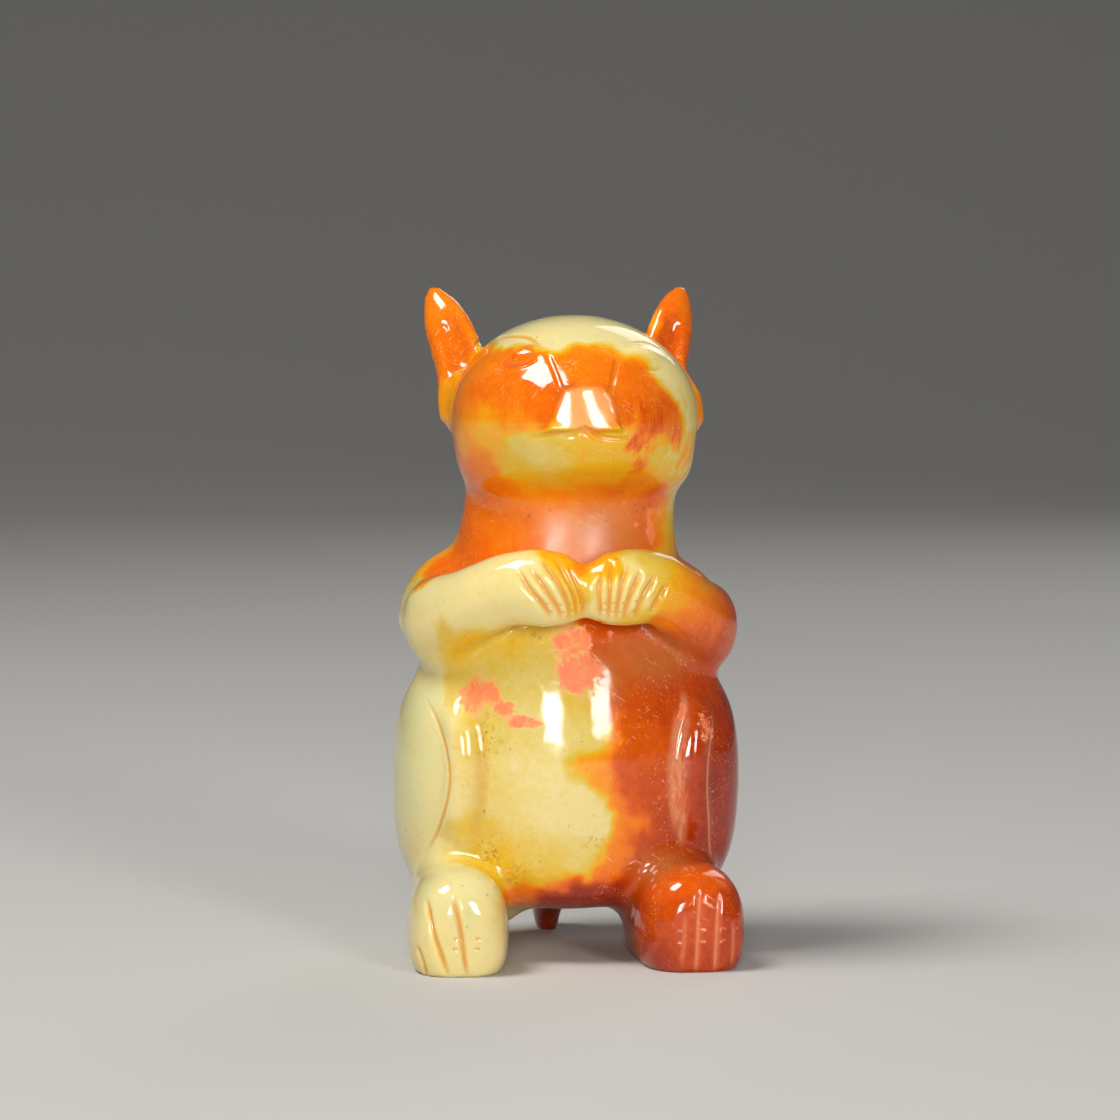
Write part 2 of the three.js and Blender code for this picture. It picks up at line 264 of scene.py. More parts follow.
EYES = [
    [(-9.4, 60.9), (-8.6, 62.0), (-7.0, 62.9), (-5.2, 63.0), (-4.3, 62.4), (-3.8, 61.4)],
    [(-8.6, 60.3), (-7.2, 60.0), (-5.6, 60.3), (-4.4, 60.9)],
]
FAR_EYE = [
    [(9.4, 60.6), (8.6, 61.6), (7.0, 62.3), (5.2, 62.3), (4.2, 61.6)],
    [(8.6, 60.0), (7.2, 59.7), (5.6, 60.0)],
]
BRIDGE = [
    [(-3.5, 61.3), (-3.0, 59.8), (-2.7, 58.6), (-2.4, 57.6)],
    [(3.5, 61.0), (3.0, 59.6), (2.6, 58.4), (2.3, 57.5)],
]
# The rim of each haunch stands up between its two lines.
RIMS = [
    [(-12.9, 26.8), (-12.2, 23.4), (-11.9, 19.6), (-12.2, 16.0), (-13.0, 12.4)],
    [(13.0, 26.6), (12.1, 22.8), (11.7, 19.2), (12.0, 15.2), (12.8, 10.8)],
]
# A soft cut is a hollow with rounded shoulders, a keen one falls off at once, and a rim is a low
# swell. Each row is a cut's line, half its width, its depth, the share of its length that it takes
# to run out at each end, and its form. A rim's depth is negative, so it stands up.
SOFT, KEEN, RIM = 1.5, 0.8, 2.0
CUTS = [
    (line, *row) for lines, *row in (
        (FINGERS, 0.62, 0.24, 0.3, SOFT), (FINGERS, 0.24, 0.16, 0.25, KEEN),
        (TOES, 0.5, 0.18, 0.2, SOFT), (TOES, 0.22, 0.16, 0.2, KEEN),
        (FAINT_TOES, 0.3, 0.1, 0.3, KEEN), (HAUNCHES, 0.26, 0.18, 0.3, KEEN),
        (HAUNCH_EDGES, 0.9, 0.22, 0.35, SOFT), (MOUTH, 0.3, 0.2, 0.3, KEEN),
        (LIPS, 0.22, 0.08, 0.3, KEEN), (EYES, 0.34, 0.22, 0.35, KEEN),
        (FAR_EYE, 0.3, 0.1, 0.4, KEEN), (BRIDGE, 0.36, 0.2, 0.3, KEEN),
        (RIMS, 2.3, -0.85, 0.25, RIM),
    ) for line in lines
]


# Short nail and knuckle nicks lie across each finger and toe.
def nick(across, up, half, rise=0.0):
    """The places of a short cut across a finger or toe."""
    return [(across - half, up - rise), (across, up), (across + half, up + rise)]


TOE_NICKS = [nick(place, up, 0.36) for place in (8.9, 11.2, 13.2) for up in (4.4, 3.2)]
TOE_NICKS += [nick(place, up, 0.3) for place in (-13.6, -11.4) for up in (3.9, 2.9)]
FINGER_NICKS = [nick(*row) for row in (
    (-4.1, 36.6, 0.3, 0.12), (-2.7, 36.5, 0.3, 0.1), (-1.7, 36.6, 0.28, 0.06), (-0.7, 36.6, 0.25),
    (1.7, 36.6, 0.25), (2.6, 36.6, 0.28, -0.06), (3.6, 36.6, 0.3, -0.1), (5.0, 36.8, 0.34, -0.16),
    (-3.6, 35.8, 0.3, 0.12), (-2.3, 35.7, 0.3, 0.1), (-1.4, 35.8, 0.28, 0.06),
    (1.7, 35.8, 0.25), (2.5, 35.7, 0.28, -0.06), (3.4, 35.6, 0.3, -0.1), (4.6, 35.8, 0.34, -0.16),
)]
CUTS += [(line, 0.17, 0.13, 0.35, KEEN) for line in TOE_NICKS + FINGER_NICKS]
traced = [(on_front(course(line)), half, depth, run_out, form) for line, half, depth, run_out, form in CUTS]


def refine(reach, coarse, forms):
    """Splits the faces near the cuts of these forms that are coarser, in square millimetres."""
    places = np.vstack([line for line, _, _, _, form in traced if form in forms])
    tree = KDTree(len(places))
    for i, place in enumerate(places):
        tree.insert(place, i)
    tree.balance()
    areas = np.empty(len(rabbit.data.polygons))
    rabbit.data.polygons.foreach_get("area", areas)
    close = np.array([tree.find(centre)[2] < reach for centre in face_centres()])
    split(close & (areas / MM ** 2 > coarse))


refine(reach=0.9, coarse=0.05, forms=(SOFT, KEEN))
refine(reach=0.55, coarse=0.012, forms=(KEEN,))
# The new faces are rubbed into the curve of the stone, but not on the nose, whose edges stay crisp.
points = stone_points()
off_nose = soft_step(from_nose(points), *NOSE["border"])
shape_stone(points + (polished(points, 2) - points) * off_nose[:, None])


def sink(points, line, half, run_out, form):
    """How far the points lie in a cut, from 0 outside it to 1 at its deepest."""
    low, high = line.min(0) - half, line.max(0) + half
    close = np.flatnonzero(((points > low) & (points < high)).all(1))
    share = np.zeros(len(points))
    if len(close) == 0:
        return share
    apart = np.linalg.norm(points[close, None, :] - line[None, :, :], axis=2)
    along = apart.argmin(1) / (len(line) - 1)
    ends = np.minimum(1, np.minimum(along, 1 - along) / run_out)
    across = np.clip(1 - (apart.min(1) / half) ** 2, 0, 1) ** form
    share[close] = across * np.sin(ends * math.pi / 2)
    return share


points = stone_points()
normals = stone_normals()
dent = {form: np.zeros(len(points)) for form in (SOFT, KEEN, RIM)}
for line, half, depth, run_out, form in traced:
    share = sink(points, line, half, run_out, form)
    dent[form] = np.where(abs(depth) * share > abs(dent[form]), depth * share, dent[form])
points -= normals * sum(dent.values())[:, None]
shape_stone(grounded(points, slack=0.05))
# How much of the amber stain or the painted highlight a place in the cuts holds: all of it from these depths
# down.
FULL_KEEN, FULL_SOFT = 0.2, 0.45
cut = np.clip(dent[KEEN] / FULL_KEEN + dent[SOFT] / FULL_SOFT, 0, 1)
bpy.ops.object.shade_smooth()
print("triangles of carved_rabbit", sum(len(face.vertices) - 2 for face in rabbit.data.polygons))


# The stone's colour: pale celadon and cream inside, with a skin that iron has stained yellow, amber,
# orange and russet. Each stain is a patch with its place, its radius and its depth of colour, from 0
# for celadon to 1 for the darkest russet. Where patches meet, the colours between them show. The
# patches at the foot of the belly are deepened partly as painted shade.
STAINS = {
    "crown": [
        (-0.3, -7.0, 64.5, 4.0, 0.06), (4.0, -8.4, 63.1, 3.0, 0.06), (7.6, -9.6, 60.2, 2.4, 0.09),
        (9.6, -9.3, 57.8, 2.0, 0.12), (10.9, -8.5, 55.2, 1.8, 0.15), (0, 0, 65, 7, 0.06),
        (-4.2, -6.8, 63.9, 2.2, 0.10),
    ],
    "forehead": [
        (-9.0, -8.2, 60.4, 2.2, 0.50), (-10.0, -8.8, 57.6, 2.4, 0.58), (-6.6, -11.0, 59.2, 2.6, 0.56),
        (-3.8, -13.2, 58.5, 2.4, 0.62), (-8.3, -11.4, 56.5, 2.0, 0.56), (-1.2, -12.5, 60.4, 2.2, 0.51),
        (2.2, -12.6, 60.0, 2.4, 0.53), (5.6, -12.3, 58.6, 2.6, 0.57), (3.6, -14.1, 56.8, 2.4, 0.56),
        (7.2, -12.6, 55.4, 2.4, 0.64), (-5.1, -13.7, 56.5, 2.0, 0.57), (-6.3, -13.2, 54.6, 1.8, 0.46),
        (-11, -3, 60, 3.2, 0.50),
    ],
    "left cheek": [
        (-10.9, -8.2, 55.7, 1.6, 0.44), (-9.4, -10.2, 53.4, 2.8, 0.34), (-11.3, -6.8, 52.2, 2.0, 0.42),
        (-9.9, -7.4, 49.6, 2.4, 0.50), (-10.4, -1.5, 48.4, 2.4, 0.58),
    ],
    "chin": [
        (-5.0, -12.5, 51.2, 3.0, 0.19), (-2.7, -14.4, 52.9, 1.8, 0.26), (1.0, -14.0, 51.8, 2.8, 0.30),
        (-3.6, -10.4, 48.8, 2.8, 0.28), (1.0, -11.4, 49.0, 2.6, 0.34), (-6.8, -10.2, 49.6, 2.0, 0.28),
        (3.6, -12.8, 50.6, 2.0, 0.31),
    ],
    "right cheek": [
        (5.2, -13.4, 52.8, 1.1, 0.62), (5.5, -11.8, 50.4, 1.0, 0.56), (7.4, -11.6, 52.2, 1.6, 0.36),
        (8.9, -10.8, 54.0, 1.6, 0.54), (8.3, -9.6, 50.4, 1.8, 0.26), (10.4, -8.0, 52.2, 1.6, 0.34),
        (10.2, -6.2, 49.4, 1.6, 0.30), (6.6, -8.8, 48.6, 2.0, 0.44),
    ],
    "nose": [(0, -15.8, 56, 2.2, 0.50)],
    "neck": [
        (-9.0, -4.2, 45.6, 3.6, 0.56), (-5.7, -6.8, 44.8, 3.2, 0.50), (-1.6, -7.8, 45.6, 3.6, 0.47),
        (3.0, -7.8, 45, 3.2, 0.52), (6.8, -6.2, 45, 2.4, 0.60), (8.6, -5.0, 44.2, 1.8, 0.46),
        (10.2, -2.6, 44.6, 2.2, 0.28), (-10.7, -2.1, 41.3, 2.8, 0.58), (10.4, -3.1, 41.2, 1.8, 0.34),
        (0, 8, 46, 6, 0.52),
    ],
    "left arm": [
        (-13.0, -0.2, 39.4, 2.0, 0.60), (-15.6, -4.6, 38.1, 1.2, 0.56), (-13, 5, 38, 4, 0.36),
        (-15.8, -6.9, 35.4, 3.0, 0.08), (-11.8, -11.5, 37.2, 3.4, 0.09), (-8.4, -13.7, 38.4, 2.4, 0.12),
        (-16.4, -5.2, 32.6, 3.0, 0.10), (-17, 0, 33, 4, 0.10),
    ],
    "hands": [
        (-6.2, -14.6, 39.2, 2.2, 0.11), (-4.0, -15.1, 37.2, 2.6, 0.09), (-2.6, -15.0, 40.2, 1.7, 0.38),
        (-1.2, -14.8, 37.8, 1.6, 0.28), (0.0, -13.2, 39.4, 1.3, 0.46), (1.8, -14.8, 39.9, 1.5, 0.36),
        (1.6, -14.7, 37.0, 1.8, 0.12), (4.2, -15.1, 38.0, 2.4, 0.12), (6.8, -14.5, 38.4, 2.2, 0.24),
        (5.2, -14.2, 35.3, 1.6, 0.26),
    ],
    "right arm": [
        (9.2, -13.4, 37.3, 2.4, 0.36), (11.8, -11.8, 36.9, 2.6, 0.46), (10.8, -11.9, 34.6, 2.4, 0.58),
        (13.9, -9.6, 35.0, 2.8, 0.58), (16.0, -6.8, 33.6, 2.4, 0.70), (14.6, -7.8, 31.4, 2.6, 0.74),
        (11.1, -10.2, 32.3, 2.2, 0.72), (8.2, -12.6, 34.6, 1.6, 0.46), (13.0, -9.8, 38.2, 2.2, 0.44),
        (13, 0, 38, 3, 0.50), (17, -1, 33, 4, 0.72), (13, 5, 38, 4, 0.48),
    ],
    "belly": [
        (-11.5, -8.6, 32.2, 3.0, 0.30), (-6.0, -9.3, 32.7, 2.2, 0.26), (-9.8, -8.6, 29.0, 3.2, 0.22),
        (-4.4, -10.8, 29.2, 3.2, 0.20), (-9.9, -9.6, 24.4, 3.2, 0.20), (-4.6, -11.6, 24.6, 3.4, 0.16),
        (-0.4, -12.1, 26.6, 2.4, 0.22), (0.4, -12.4, 23.0, 2.0, 0.17), (-9.9, -9.9, 19.4, 2.8, 0.19),
        (-5.2, -11.6, 19.4, 3.6, 0.13), (-2.8, -12.3, 15.8, 3.6, 0.11), (1.2, -12.4, 14.6, 2.4, 0.11),
        (-7.6, -11.0, 15.6, 2.8, 0.15), (-9.6, -9.6, 12.4, 2.6, 0.25), (-4.6, -11.8, 11.6, 2.6, 0.22),
        (-0.2, -12.3, 11.4, 2.4, 0.18), (-8.6, -10.7, 9.6, 2.4, 0.28), (-3.6, -11.6, 9.2, 1.9, 0.28),
    ],
    "amber edge": [
        (2.8, -12.3, 22.4, 1.2, 0.48), (1.0, -12.5, 20.6, 1.5, 0.40), (-0.8, -12.5, 19.7, 1.1, 0.36),
        (2.3, -12.5, 18.8, 1.3, 0.43), (4.2, -12.2, 16.6, 1.2, 0.47), (4.5, -12.0, 13.8, 1.3, 0.47),
        (3.6, -12.0, 11.4, 1.5, 0.50), (2.2, -11.6, 9.2, 1.6, 0.52), (6.0, -11.6, 14.0, 1.4, 0.54),
        (2.6, -11.6, 27.4, 1.2, 0.52), (2.8, -11.8, 25.0, 1.1, 0.54),
    ],
    "russet of the belly": [
        (4.2, -10.2, 31.6, 2.6, 0.68), (8.6, -8.8, 31.2, 3.2, 0.72), (12.0, -7.0, 29.6, 2.6, 0.74),
        (5.2, -11.2, 27.6, 2.6, 0.70), (8.8, -9.8, 26.0, 3.4, 0.74), (6.2, -11.4, 22.2, 3.2, 0.68),
        (6.8, -11.4, 17.6, 3.2, 0.70), (8.8, -10.2, 14.0, 3.4, 0.74), (6.2, -11.0, 9.4, 2.8, 0.74),
        # The three patches below, at the foot of the belly, are russet stain deepened partly as painted shade
        # where the belly turns under.
        (3.0, -10.6, 6.6, 2.4, 0.84), (-0.2, -11.3, 7.2, 1.9, 0.86), (-2.4, -10.8, 6.2, 2.2, 0.86),
        (-6.1, -9.9, 6.4, 1.8, 0.54),
    ],
    "left haunch": [
        (-16.2, -3.8, 22.4, 4.0, 0.03), (-13.4, -8.0, 22.6, 2.4, 0.06), (-16.0, -4.6, 15.6, 3.6, 0.04),
        (-13.4, -8.0, 16.5, 2.6, 0.08), (-15.4, -4.8, 11.2, 2.6, 0.10), (-11.8, -9.0, 19.4, 2.6, 0.12),
        (-12.3, -8.3, 13.2, 2.0, 0.18), (-17, 3, 17, 7, 0.04), (-16, 8, 18, 6, 0.08),
    ],
    "right haunch": [
        (12.9, -6.7, 25.8, 2.2, 0.76), (14.6, -6.6, 22.8, 3.0, 0.82), (14.8, -6.8, 17.4, 3.4, 0.86),
        (11.6, -9.2, 20.3, 2.0, 0.78), (12.6, -8.0, 13.0, 2.6, 0.82), (15.4, -4.2, 10.5, 2.6, 0.84),
        (10.7, -9.5, 10.6, 2.0, 0.74), (17, 3, 17, 7, 0.88), (15, 9, 18, 6, 0.8),
    ],
    "left paw": [
        (-13.2, -16.2, 7.6, 4.0, 0.05), (-16.0, -17.2, 3.6, 2.6, 0.10), (-12.6, -17.9, 2.4, 3.0, 0.09),
        (-9.6, -16.6, 6.0, 2.0, 0.15), (-13, -9, 4, 5, 0.12),
    ],
    "right paw": [
        (9.6, -16.4, 8.8, 3.2, 0.68), (6.6, -16.8, 5.4, 2.6, 0.74), (10.6, -18.0, 4.6, 3.2, 0.74),
        (13.8, -17.2, 5.0, 2.4, 0.78), (6.9, -17.3, 1.8, 2.2, 0.80), (12.0, -17.8, 1.6, 2.8, 0.78),
        (10, -9, 4, 5, 0.78),
    ],
    "tail": [(0, 14, 3, 4, 0.90)],
    "ears": [
        (-12.4, 8.5, 65.5, 2.6, 0.50), (-11.2, 6.6, 62.0, 2.6, 0.56), (-12.1, 1.5, 56.2, 2.2, 0.40),
        (12.9, 8.5, 65.9, 2.0, 0.56), (11.8, 6.8, 62.6, 2.2, 0.64), (10.3, 6.8, 64.2, 1.2, 0.30),
        (12.9, 2.5, 56.5, 2.6, 0.44),
    ],
    "back": [
        (0, 10, 56, 6, 0.30), (-7, 8, 52, 4, 0.44), (7, 8, 53, 4, 0.24), (-6, 10, 40, 5, 0.44),
        (6, 10, 38, 5, 0.60), (-6, 14, 30, 6, 0.22), (0, 15, 24, 5, 0.36), (6, 14, 28, 6, 0.66),
        (-7, 14, 18, 6, 0.12), (7, 14, 16, 6, 0.78), (-5, 12, 8, 5, 0.34), (5, 12, 8, 4, 0.72),
    ],
}
# The borders between the stains wander by about a millimetre, in long waves with shorter ones on
# them, the same way each time. A wave is given by how many lie in a millimetre.
SEED = 1
DRIFT, LONG_WAVE, SHORT_WAVE = 1.1, 0.35, 0.9


def wave(place):
    return noise.noise_vector(place * LONG_WAVE) + noise.noise_vector(place * SHORT_WAVE) * 0.5


noise.seed_set(SEED)
points = stone_points()
drift = np.array([wave(Vector(place)) for place in points])


# A patch counts fully at its middle and little beyond its radius. Where no patch is near, faint
# traces of the nearest ones decide.
NEAR_FALL, FAR_FALL, TRACE = 2.2, 0.2, 1e-6


def blend(patches, places):
    """The depth of colour that patches give together at each place."""
    weights = np.full(len(places), 1e-9)
    total = 0.4 * weights
    for px, py, pz, radius, value in patches:
        apart = np.linalg.norm(places - np.array((px, py, pz)), axis=1) / radius
        weight = np.exp(-NEAR_FALL * apart ** 2) + TRACE * np.exp(-FAR_FALL * apart ** 2)
        weights += weight
        total += weight * value
    return total / weights


stain = blend([patch for group in STAINS.values() for patch in group], points + DRIFT * drift)


def keep_on_stone(name, values):
    """Gives each point of the stone a value that the material reads."""
    layer = rabbit.data.attributes.new(name, "FLOAT", "POINT")
    layer.data.foreach_set("value", np.asarray(values, np.float32))


def spots(rows, places, edge=0.5):
    """1 inside any of the spots, fading over their edge. A row is a place and three half-sizes."""
    most = np.zeros(len(places))
    for px, py, pz, rx, ry, rz in rows:
        apart = np.linalg.norm((places - np.array((px, py, pz))) / np.array((rx, ry, rz)), axis=1)
        most = np.maximum(most, 1 - soft_step(apart, 1 - edge, 1 + edge))
    return most


# Each row below is a spot's place and its three half-sizes. Red cinnabar clings to the polish, in
# scraps. The right cheek is streaked, the neck and the top of the belly are glassy or rubbed dull,
# the brow is flecked, grime lies in some hollows, and the nose is worn. The right haunch's rim is
# paler, partly worn stone and partly a painted highlight along the rim.
CINNABAR = [
    (-1.1, -10.8, 32.7, 2.2, 2.5, 1.5), (-0.6, -11.3, 29.6, 2.6, 2, 2.6), (-11.0, -9.3, 27.2, 1.5, 2.4, 2.5),
    (-9.4, -10.0, 27.6, 1.3, 2, 1.5), (-8.0, -10.4, 26.0, 1.4, 2, 0.9), (-5.9, -10.8, 24.6, 2.0, 2, 0.8),
    (12.6, -8.0, 23.3, 1.0, 2, 2.3), (10.4, -8.6, 25.2, 0.5, 2, 0.9), (3.1, -10.6, 33.0, 0.5, 2, 0.6),
    (6.1, -7.0, 43.7, 0.5, 2, 0.5), (8.4, -5.5, 45.3, 1.1, 2, 0.4), (7.8, -6.0, 43.2, 0.4, 2, 1.5),
    (-6.2, -9.5, 5.9, 1.1, 2, 0.6), (12.6, -9.8, 39.4, 1.1, 1.5, 0.3),
]
STREAKS = [(6.0, -12.8, 53.4, 2.2, 4, 3.2), (10.2, -8.5, 52.6, 2.0, 4, 4.0)]
GLASSY = [
    (3.0, -8.0, 43.5, 4.5, 4, 2.8), (7, -9.5, 30.8, 5, 4, 2.6), (2.4, -11.5, 29, 2, 3, 3),
    (8.2, -12.0, 9.8, 3.2, 3, 1.6),
]
DULL = [(1.0, -8, 44.0, 10, 6, 7), (8, -9.5, 32.5, 4, 3, 1.4)]
FLECKED = [(0, -11, 57, 12, 6, 4.5)]
GRIMY = [
    (7.2, -6.4, 45.6, 1.3, 2, 1.1), (4.6, -9.0, 47.4, 1.0, 2, 0.5), (-4.6, -11.0, 33.2, 1.3, 2, 0.5),
    (-9.4, -10.6, 11.4, 1.4, 2, 1.8), (-6.6, -11.2, 9.2, 1.2, 2, 1.2), (-9.2, -9.6, 22.8, 1.0, 2, 2.2),
    (1.2, -12.4, 12.6, 1.2, 1, 0.5), (-5.0, -13.2, 53.9, 0.4, 1, 0.3),
]
# The right haunch's rim: partly worn stone, partly a painted highlight where the rim would catch the light.
WORN_AND_HIGHLIGHT = [
    (10.7, -10.2, 25.4, 0.5, 2.5, 2.0), (10.1, -10.6, 22.6, 0.8, 2.5, 2.6), (9.9, -10.6, 19.2, 0.9, 2.5, 3.0),
    (10.0, -10.6, 16.2, 0.8, 2.5, 2.6), (10.5, -10.4, 13.6, 0.5, 2.5, 2.0),
]
PEACH = [(-0.2, -15.9, 55.9, 2.8, 2, 2.4)]
keep_on_stone("stain", stain)
keep_on_stone("cut", cut)
keep_on_stone("cinnabar", spots(CINNABAR, points + 0.5 * drift))
for name, rows, edge in (
    ("streaks", STREAKS, 0.6), ("glassy", GLASSY, 0.7), ("peach", PEACH, 0.3), ("dull", DULL, 0.4),
    ("flecked", FLECKED, 0.3), ("worn_and_highlight", WORN_AND_HIGHLIGHT, 0.5), ("grimy", GRIMY, 0.8),
):
    keep_on_stone(name, spots(rows, points, edge))


def tone(red, green, blue):
    """A colour as a screen shows it, from 0 to 255, for Blender's sockets."""
    return tuple(((c / 255 + 0.055) / 1.055) ** 2.4 for c in (red, green, blue)) + (1,)


jade = bpy.data.materials.new("polished_jade")
jade.use_nodes = True
nodes, links = jade.node_tree.nodes, jade.node_tree.links
shader = nodes["Principled BSDF"]
on_stone = nodes.new("ShaderNodeTexCoord").outputs["Object"]


def stone_value(name):
    """One of the values kept on the stone."""
    node = nodes.new("ShaderNodeAttribute")
    node.attribute_name = name
    return node.outputs["Fac"]


def grain(scale, detail=4.0, roughness=0.6, stretch=(1, 1, 1), turn=0.0):
    """Noise of the stone. Scale is how many of its clouds lie in a millimetre."""
    mapping = nodes.new("ShaderNodeMapping")
    mapping.vector_type = "TEXTURE"
    mapping.inputs["Scale"].default_value = [1 / share for share in stretch]
    mapping.inputs["Rotation"].default_value = (0, turn, 0)
    links.new(on_stone, mapping.inputs["Vector"])
    node = nodes.new("ShaderNodeTexNoise")
    node.inputs["Scale"].default_value = scale / MM
    node.inputs["Detail"].default_value = detail
    node.inputs["Roughness"].default_value = roughness
    links.new(mapping.outputs["Vector"], node.inputs["Vector"])
    return node.outputs["Fac"]


def set_socket(socket, value):
    """Sets a socket to a number or a colour, or links it to another socket."""
    if isinstance(value, (int, float, tuple)):
        socket.default_value = value
    else:
        links.new(value, socket)


def maths(operation, first, second):
    node = nodes.new("ShaderNodeMath")
    node.operation = operation
    set_socket(node.inputs[0], first)
    set_socket(node.inputs[1], second)
    return node.outputs[0]


def times(first, second):
    return maths("MULTIPLY", first, second)


def plus(first, second):
    return maths("ADD", first, second)


def swing(value, amount, middle=0.5):
    """Noise as a swing to either side of nothing."""
    return times(maths("SUBTRACT", value, middle), amount)


def ranged(value, low, high, to_low=0.0, to_high=1.0):
    """Carries a value over from one range to another, smoothly and held at its ends."""
    node = nodes.new("ShaderNodeMapRange")
    node.interpolation_type = "SMOOTHSTEP"
    links.new(value, node.inputs["Value"])
    for name, number in (("From Min", low), ("From Max", high), ("To Min", to_low), ("To Max", to_high)):
        node.inputs[name].default_value = number
    return node.outputs["Result"]


def mixed(share, first, second):
    """The first colour with a share of the second in it."""
    node = nodes.new("ShaderNodeMix")
    node.data_type = "RGBA"
    set_socket(node.inputs["Factor"], share)
    set_socket(node.inputs["A"], first)
    set_socket(node.inputs["B"], second)
    return node.outputs["Result"]


# The depth of colour wanders with clouds in the stone, fine mottling, pale flecks on the brow and
# the streaks on the cheek.
clouds = swing(grain(0.16, detail=3), 0.10)
mottling = swing(grain(1.1, detail=8, roughness=0.7), 0.2)
flecks = times(ranged(grain(2.6), 0.6, 0.74), times(stone_value("flecked"), -0.16))
threads = swing(grain(1.6, detail=3, roughness=0.5, stretch=(1, 1, 0.16)), 0.7)
threads = times(threads, stone_value("streaks"))
stained = plus(stone_value("stain"), clouds)
depth_of_colour = plus(stained, plus(plus(mottling, flecks), threads))
ramp = nodes.new("ShaderNodeValToRGB")
links.new(depth_of_colour, ramp.inputs["Fac"])
PALETTE = [
    (0.00, (210, 206, 150)), (0.10, (226, 208, 144)), (0.20, (218, 192, 96)), (0.28, (222, 180, 38)),
    (0.37, (234, 162, 8)), (0.48, (234, 130, 4)), (0.60, (224, 102, 0)), (0.72, (196, 74, 0)),
    (0.84, (158, 42, 2)), (1.00, (98, 16, 2)),
]
for _ in PALETTE[2:]:
    ramp.color_ramp.elements.new(0.5)
for element, (position, colour) in zip(ramp.color_ramp.elements, PALETTE):
    element.position = position
    element.color = tone(*colour)
colour = ramp.outputs["Color"]

# Stain gathers in the cuts of the pale stone. The cuts of the russet are lightened with a painted highlight.
AMBER_STAIN, CUT_HIGHLIGHT = tone(226, 158, 30), tone(236, 150, 100)
pale = ranged(stone_value("stain"), 0.3, 0.6, 1, 0)
russet = ranged(stone_value("stain"), 0.6, 0.72)
colour = mixed(times(times(stone_value("cut"), pale), 0.75), colour, AMBER_STAIN)
colour = mixed(times(times(stone_value("cut"), russet), 0.8), colour, CUT_HIGHLIGHT)

# The glassy places are duller in colour, the nose is peach, the rim of the right haunch is pale and
# dusty, partly worn stone and partly a painted highlight, and dark specks and grime show.
GLASSY_BROWN, PEACH_PINK, WORN_HIGHLIGHT_PINK, SPECK = (
    tone(186, 128, 64), tone(255, 190, 128), tone(232, 158, 112), tone(120, 66, 24)
)
colour = mixed(times(stone_value("glassy"), 0.45), colour, GLASSY_BROWN)
colour = mixed(times(stone_value("peach"), 0.6), colour, PEACH_PINK)
# The pale rim mixed in below is partly wear and partly a painted highlight.
scuffs = grain(2.2, detail=6, roughness=0.75, stretch=(1, 1, 0.2))
worn_and_highlight = times(stone_value("worn_and_highlight"), ranged(scuffs, 0.35, 0.62, 0.15, 0.75))
colour = mixed(worn_and_highlight, colour, WORN_HIGHLIGHT_PINK)
specks = times(ranged(grain(1.5, detail=2, roughness=0.4), 0.72, 0.78), 0.4)
grime = times(stone_value("grimy"), ranged(grain(1.8, detail=8, roughness=0.75), 0.5, 0.62, 0, 0.6))
colour = mixed(maths("MAXIMUM", specks, grime), colour, SPECK)

# Fine scratches from handling run in two directions, more in some places than in others, and pale
# dust fills them.
SCRATCH_DUST = tone(246, 196, 140)
rising = grain(6.0, detail=1, roughness=0.4, stretch=(1, 1, 0.06), turn=0.7)
falling = grain(5.0, detail=1, roughness=0.4, stretch=(1, 1, 0.05), turn=-1.0)
handled = ranged(grain(0.25, detail=2, roughness=0.5), 0.45, 0.6, 0.05, 0.35)
scratches = times(maths("MAXIMUM", ranged(rising, 0.67, 0.72), ranged(falling, 0.67, 0.72)), handled)
colour = mixed(scratches, colour, SCRATCH_DUST)

# The cinnabar is thin and matt, ragged at its edges, and pales where it is thinnest.
THIN_RED, THICK_RED = tone(248, 166, 106), tone(244, 124, 76)
torn = swing(grain(1.3, detail=10, roughness=0.8), 4.2, middle=0.52)
scraps = times(ranged(plus(stone_value("cinnabar"), torn), 0.45, 0.75),
               ranged(stone_value("cinnabar"), 0.05, 0.4))
ink = mixed(ranged(stone_value("cinnabar"), 0.4, 0.95), THIN_RED, THICK_RED)
thick = times(scraps, ranged(grain(0.9, detail=6, roughness=0.7), 0.35, 0.65, 0.75, 1.0))
colour = mixed(thick, colour, ink)
links.new(colour, shader.inputs["Base Color"])

# The polish is high, a little uneven, and lost on the cinnabar, the rubbed places and the scratches.
# Light goes a little way into the stone, red the furthest.
polish = ranged(grain(0.5, detail=5, roughness=0.7), 0.35, 0.8, 0.06, 0.17)
gloss = plus(polish, times(scraps, 0.5))
gloss = plus(gloss, plus(times(stone_value("dull"), 0.24), times(scratches, 0.3)))
links.new(gloss, shader.inputs["Roughness"])
shader.inputs["IOR"].default_value = 1.56
shader.inputs["Subsurface Weight"].default_value = 0.8
shader.inputs["Subsurface Radius"].default_value = (1.0, 0.62, 0.28)
shader.inputs["Subsurface Scale"].default_value = 1.6 * MM

waves = nodes.new("ShaderNodeBump")
waves.inputs["Strength"].default_value = 0.25
waves.inputs["Distance"].default_value = 0.1 * MM
links.new(plus(grain(0.35, detail=2), times(scraps, 0.5)), waves.inputs["Height"])
links.new(waves.outputs["Normal"], shader.inputs["Normal"])

rabbit.data.materials.append(jade)
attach(rabbit, "root")
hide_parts("jade_rabbit")


# The floor: a plain pale sheet that curves up behind the rabbit, so that no edge shows. Its sizes
# are in metres.
SHEET, WALL, CURVE = 4, 3, 1.2


def at_back(edge):
    """Whether an edge of the sheet lies along its back, on the ground."""
    ends = [floor.data.vertices[i].co for i in edge.vertices]
    return all(end.y > 0.45 * SHEET and end.z < 0.1 for end in ends)


def pick(test):
    """Picks the edges of the sheet that pass a test, for the next step."""
    for edge in floor.data.edges:
        edge.select = test(edge)
    bpy.ops.object.mode_set(mode="EDIT")


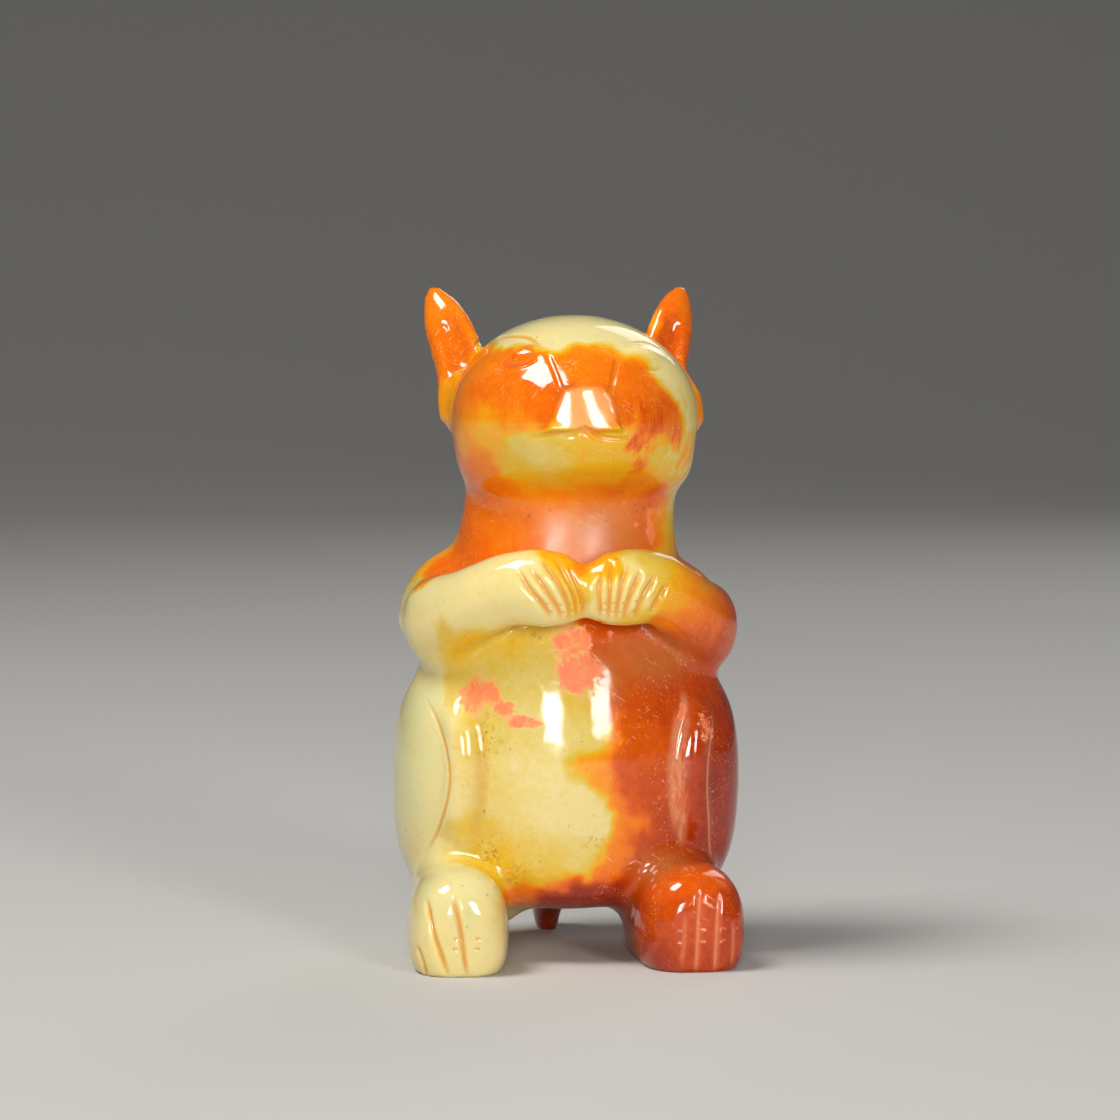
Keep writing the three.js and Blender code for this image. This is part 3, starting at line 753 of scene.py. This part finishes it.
bpy.ops.object.select_all(action="DESELECT")
bpy.ops.mesh.primitive_plane_add(size=SHEET, location=(0, 0, 0))
floor = bpy.context.object
floor.name = "floor"
bpy.ops.object.mode_set(mode="EDIT")
bpy.ops.mesh.select_mode(type="EDGE")
bpy.ops.mesh.select_all(action="DESELECT")
bpy.ops.object.mode_set(mode="OBJECT")
pick(at_back)
bpy.ops.mesh.extrude_region_move(TRANSFORM_OT_translate={"value": (0, 0, WALL)})
bpy.ops.mesh.select_all(action="DESELECT")
bpy.ops.object.mode_set(mode="OBJECT")
pick(at_back)
bpy.ops.mesh.bevel(offset=CURVE, segments=16, affect="EDGES")
bpy.ops.object.mode_set(mode="OBJECT")
bpy.ops.object.shade_smooth()
paper = bpy.data.materials.new("pale_paper")
paper.use_nodes = True
sheet_shader = paper.node_tree.nodes["Principled BSDF"]
sheet_shader.inputs["Base Color"].default_value = tone(196, 194, 189)
sheet_shader.inputs["Roughness"].default_value = 0.8
floor.data.materials.append(paper)


# The light: two tall soft boxes in front, which show as windows in the polish, one high on the left
# and a faint one behind. All of them face the middle of the rabbit, from the same distance.
MIDDLE = Vector((0, 0, 0.034))
LAMP_DISTANCE = 0.7


def outward(azimuth, elevation):
    """The direction out from the rabbit, by degrees round from its front and up from the ground."""
    turn, rise = math.radians(azimuth), math.radians(elevation)
    return Vector((math.sin(turn) * math.cos(rise), -math.cos(turn) * math.cos(rise), math.sin(rise)))


def soft_box(name, azimuth, elevation, width, height, watts):
    lamp = bpy.data.lights.new(name, "AREA")
    lamp.shape = "RECTANGLE"
    lamp.size, lamp.size_y, lamp.energy = width, height, watts
    box = bpy.data.objects.new(name, lamp)
    bpy.context.scene.collection.objects.link(box)
    out = outward(azimuth, elevation)
    box.location = MIDDLE + out * LAMP_DISTANCE
    box.rotation_euler = (-out).to_track_quat("-Z", "Y").to_euler()


soft_box("window_middle", azimuth=-10, elevation=10, width=0.13, height=0.19, watts=2.0)
soft_box("window_right", azimuth=18, elevation=14, width=0.13, height=0.26, watts=1.9)
soft_box("overhead", azimuth=-72, elevation=62, width=0.28, height=0.26, watts=3.9)
soft_box("rim", azimuth=150, elevation=35, width=0.2, height=0.4, watts=0.5)

world = bpy.data.worlds.new("studio")
bpy.context.scene.world = world
world.use_nodes = True
world.node_tree.nodes["Background"].inputs["Color"].default_value = (1, 1, 1, 1)
world.node_tree.nodes["Background"].inputs["Strength"].default_value = 0.10
bpy.context.scene.view_settings.view_transform = "Standard"


# The camera: low, a little to the rabbit's right, and far enough off that the view is nearly flat.
AZIMUTH, ELEVATION = -8.0, 3.8
DISTANCE = 0.480
PICTURE_WIDTH = 0.1145
TARGET = Vector((-0.0006, 0.0004, 0.0400))
lens = bpy.data.cameras.new("camera")
lens.sensor_width = 36
lens.lens = lens.sensor_width * DISTANCE / PICTURE_WIDTH
lens.clip_start = 0.02
camera = bpy.data.objects.new("camera", lens)
bpy.context.scene.collection.objects.link(camera)
back = outward(AZIMUTH, ELEVATION)
camera.location = TARGET + back * DISTANCE
camera.rotation_euler = (-back).to_track_quat("-Z", "Y").to_euler()
bpy.context.scene.camera = camera
